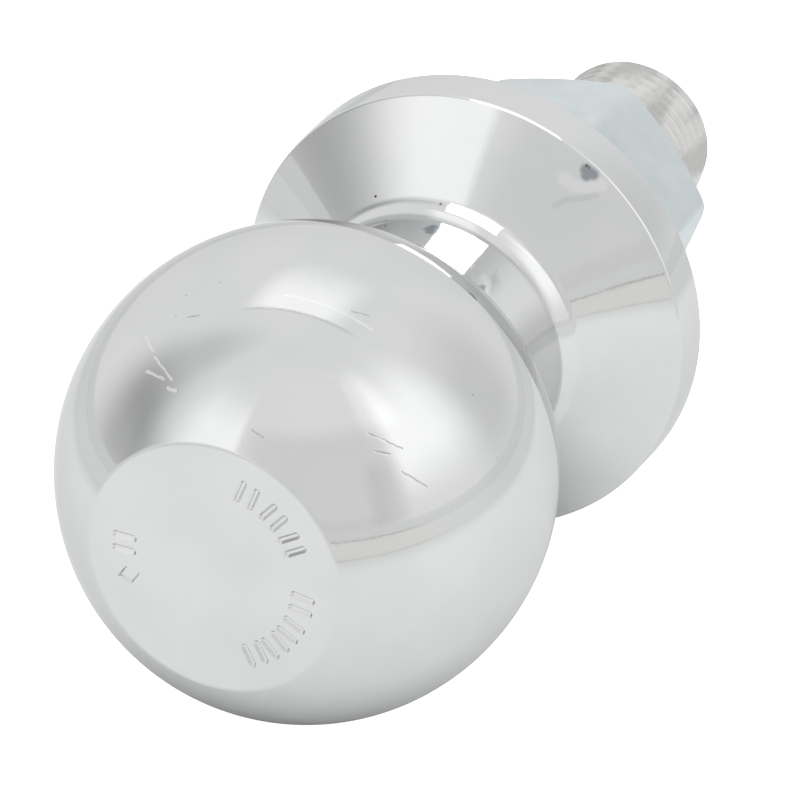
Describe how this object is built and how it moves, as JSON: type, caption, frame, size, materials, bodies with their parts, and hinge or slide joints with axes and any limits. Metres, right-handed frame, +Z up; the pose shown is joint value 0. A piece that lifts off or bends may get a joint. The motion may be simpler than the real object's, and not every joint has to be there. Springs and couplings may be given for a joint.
{
  "type": "trailer hitch ball",
  "caption": "Chrome trailer hitch ball on a conical flange and threaded shank, with a split lock washer and a hexagon nut that unscrews.",
  "frame": {"origin": "centre of the flange's flat underside, the face that seats on the drawbar", "axes": "the ball lies on its side, resting on the ball and the flange's rim: -Y from the seat to the top of the ball, +Y along the shank to its end, +Z up. In use the shank points down, so +Y is down on the vehicle"},
  "size_m": [0.0508, 0.1116, 0.0508],
  "materials": {
    "chrome": "bright chrome plate, light handling scratches",
    "washer_zinc": "satin zinc plate",
    "nut_zinc": "satin clear-blue zinc plate"
  },
  "bodies": {
    "ball": {"hitch_ball": "chrome"},
    "washer": {"lock_washer": "washer_zinc"},
    "nut": {"hex_nut": "nut_zinc"}
  },
  "joints": [
    {"name": "washer_slide", "type": "slide", "parent": "ball", "child": "washer", "axis": [0, 1, 0], "range_m": [0, 0.035]},
    {"name": "nut_spin", "type": "hinge", "parent": "washer", "child": "nut", "pos_m": [0, 0.019, 0], "axis": [0, 1, 0], "range_deg": [0, 7920]}
  ],
  "couplings": [
    {"joint": "washer_slide", "follows": "nut_spin", "m_per_rad": 0.00025266}
  ]
}
